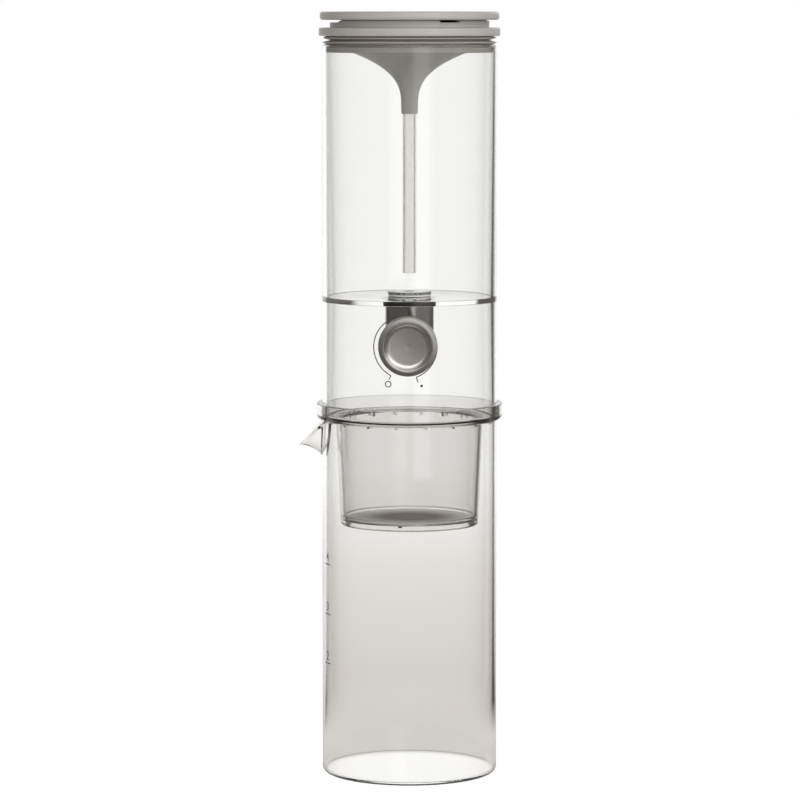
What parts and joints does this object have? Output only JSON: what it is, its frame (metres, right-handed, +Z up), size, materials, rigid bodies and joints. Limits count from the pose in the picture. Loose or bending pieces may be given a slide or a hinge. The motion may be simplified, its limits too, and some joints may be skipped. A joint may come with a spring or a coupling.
{
  "type": "cold drip coffee maker",
  "caption": "Slim cold drip coffee maker: glass carafe with a spout, dripper cup with a mesh foot, clear water tank with a knurled drip-rate knob, and a vented lid with an air tube.",
  "frame": {"origin": "centre of the carafe's base, on the vertical axis of the stack, at the table", "axes": "+Z up the stack, -Y towards the knob, -X towards the carafe's spout"},
  "size_m": [0.1009, 0.1001, 0.3751],
  "materials": {
    "borosilicate_glass": "clear, fire-polished",
    "clear_copolyester": "clear, glossy",
    "smoke_copolyester": "clear with a slight smoke tint",
    "steel_mesh": "fine woven mesh",
    "turned_steel": "turned, bright",
    "knurled_steel": "knurled rim, satin bevel",
    "spun_steel": "spun and bead blasted",
    "dark_rubber": "matt",
    "white_silicone": "matt",
    "grey_silicone": "matt",
    "grey_polypropylene": "fine moulded texture",
    "milky_polypropylene": "translucent"
  },
  "bodies": {
    "carafe": {"carafe": "borosilicate_glass"},
    "dripper": {"dripper_cup": "smoke_copolyester"},
    "filter": {"filter_ring": "smoke_copolyester", "filter_mesh": "steel_mesh"},
    "tank": {"water_tank": "clear_copolyester", "inlet_fitting": "clear_copolyester", "inlet_seal": "white_silicone", "valve_gasket": "dark_rubber", "valve_body": "turned_steel", "drip_nozzle": "turned_steel", "gland_nut": "turned_steel", "spindle_bush": "turned_steel", "bush_gasket": "white_silicone", "bush_nut": "turned_steel"},
    "knob": {"spindle": "turned_steel", "spindle_o_rings": "dark_rubber", "stop_collar": "turned_steel", "knob_body": "knurled_steel", "knob_face": "spun_steel", "grub_screw": "turned_steel"},
    "lid": {"lid_body": "grey_polypropylene", "funnel": "grey_polypropylene", "lid_seal": "grey_silicone", "air_tube": "milky_polypropylene"},
    "cap": {"lid_cap": "grey_polypropylene"}
  },
  "joints": [
    {"name": "dripper_lift", "type": "slide", "parent": "carafe", "child": "dripper", "axis": [0, 0, 1], "range_m": [0, 0.065]},
    {"name": "filter_release", "type": "slide", "parent": "dripper", "child": "filter", "axis": [0, 0, -1], "range_m": [0, 0.02]},
    {"name": "tank_lift", "type": "slide", "parent": "dripper", "child": "tank", "axis": [0, 0, 1], "range_m": [0, 0.05]},
    {"name": "knob_turn", "type": "hinge", "parent": "tank", "child": "knob", "pos_m": [0, 0, 0.2154], "axis": [0, -1, 0], "range_deg": [0, 312]},
    {"name": "lid_lift", "type": "slide", "parent": "tank", "child": "lid", "axis": [0, 0, 1], "range_m": [0, 0.13]},
    {"name": "cap_lift", "type": "slide", "parent": "lid", "child": "cap", "axis": [0, 0, 1], "range_m": [0, 0.02]}
  ]
}
